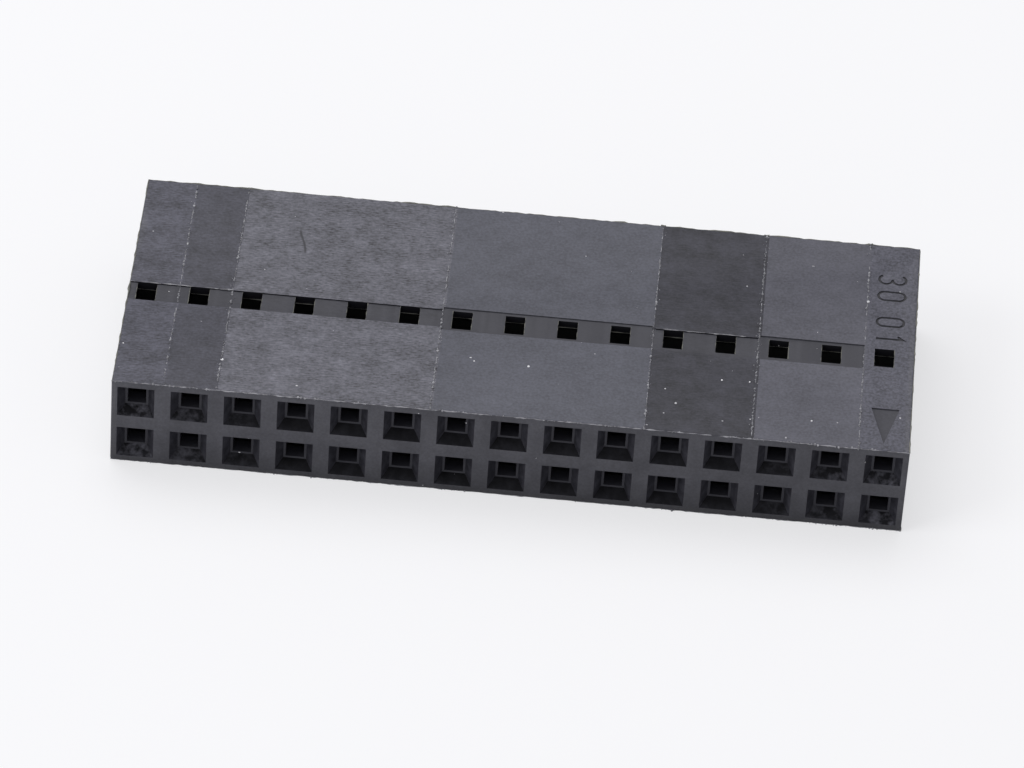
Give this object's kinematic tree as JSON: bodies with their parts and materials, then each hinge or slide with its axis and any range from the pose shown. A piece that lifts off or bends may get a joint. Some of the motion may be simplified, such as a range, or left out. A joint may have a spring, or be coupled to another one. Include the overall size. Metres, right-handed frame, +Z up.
{
  "type": "connector receptacle housing",
  "caption": "Black moulded receptacle housing with rows of funnel-shaped pin entries, contact windows and a recessed arrow.",
  "frame": {"origin": "centre of the housing's base, under the middle of its bounding box", "axes": "+X along the rows towards circuit 1 (the arrow), -Y out of the mating face, +Y out of the wire side, +Z up"},
  "size_m": [0.038, 0.015, 0.005],
  "materials": {
    "black_moulding": "satin"
  },
  "bodies": {
    "root": {"housing": "black_moulding"}
  },
  "joints": []
}
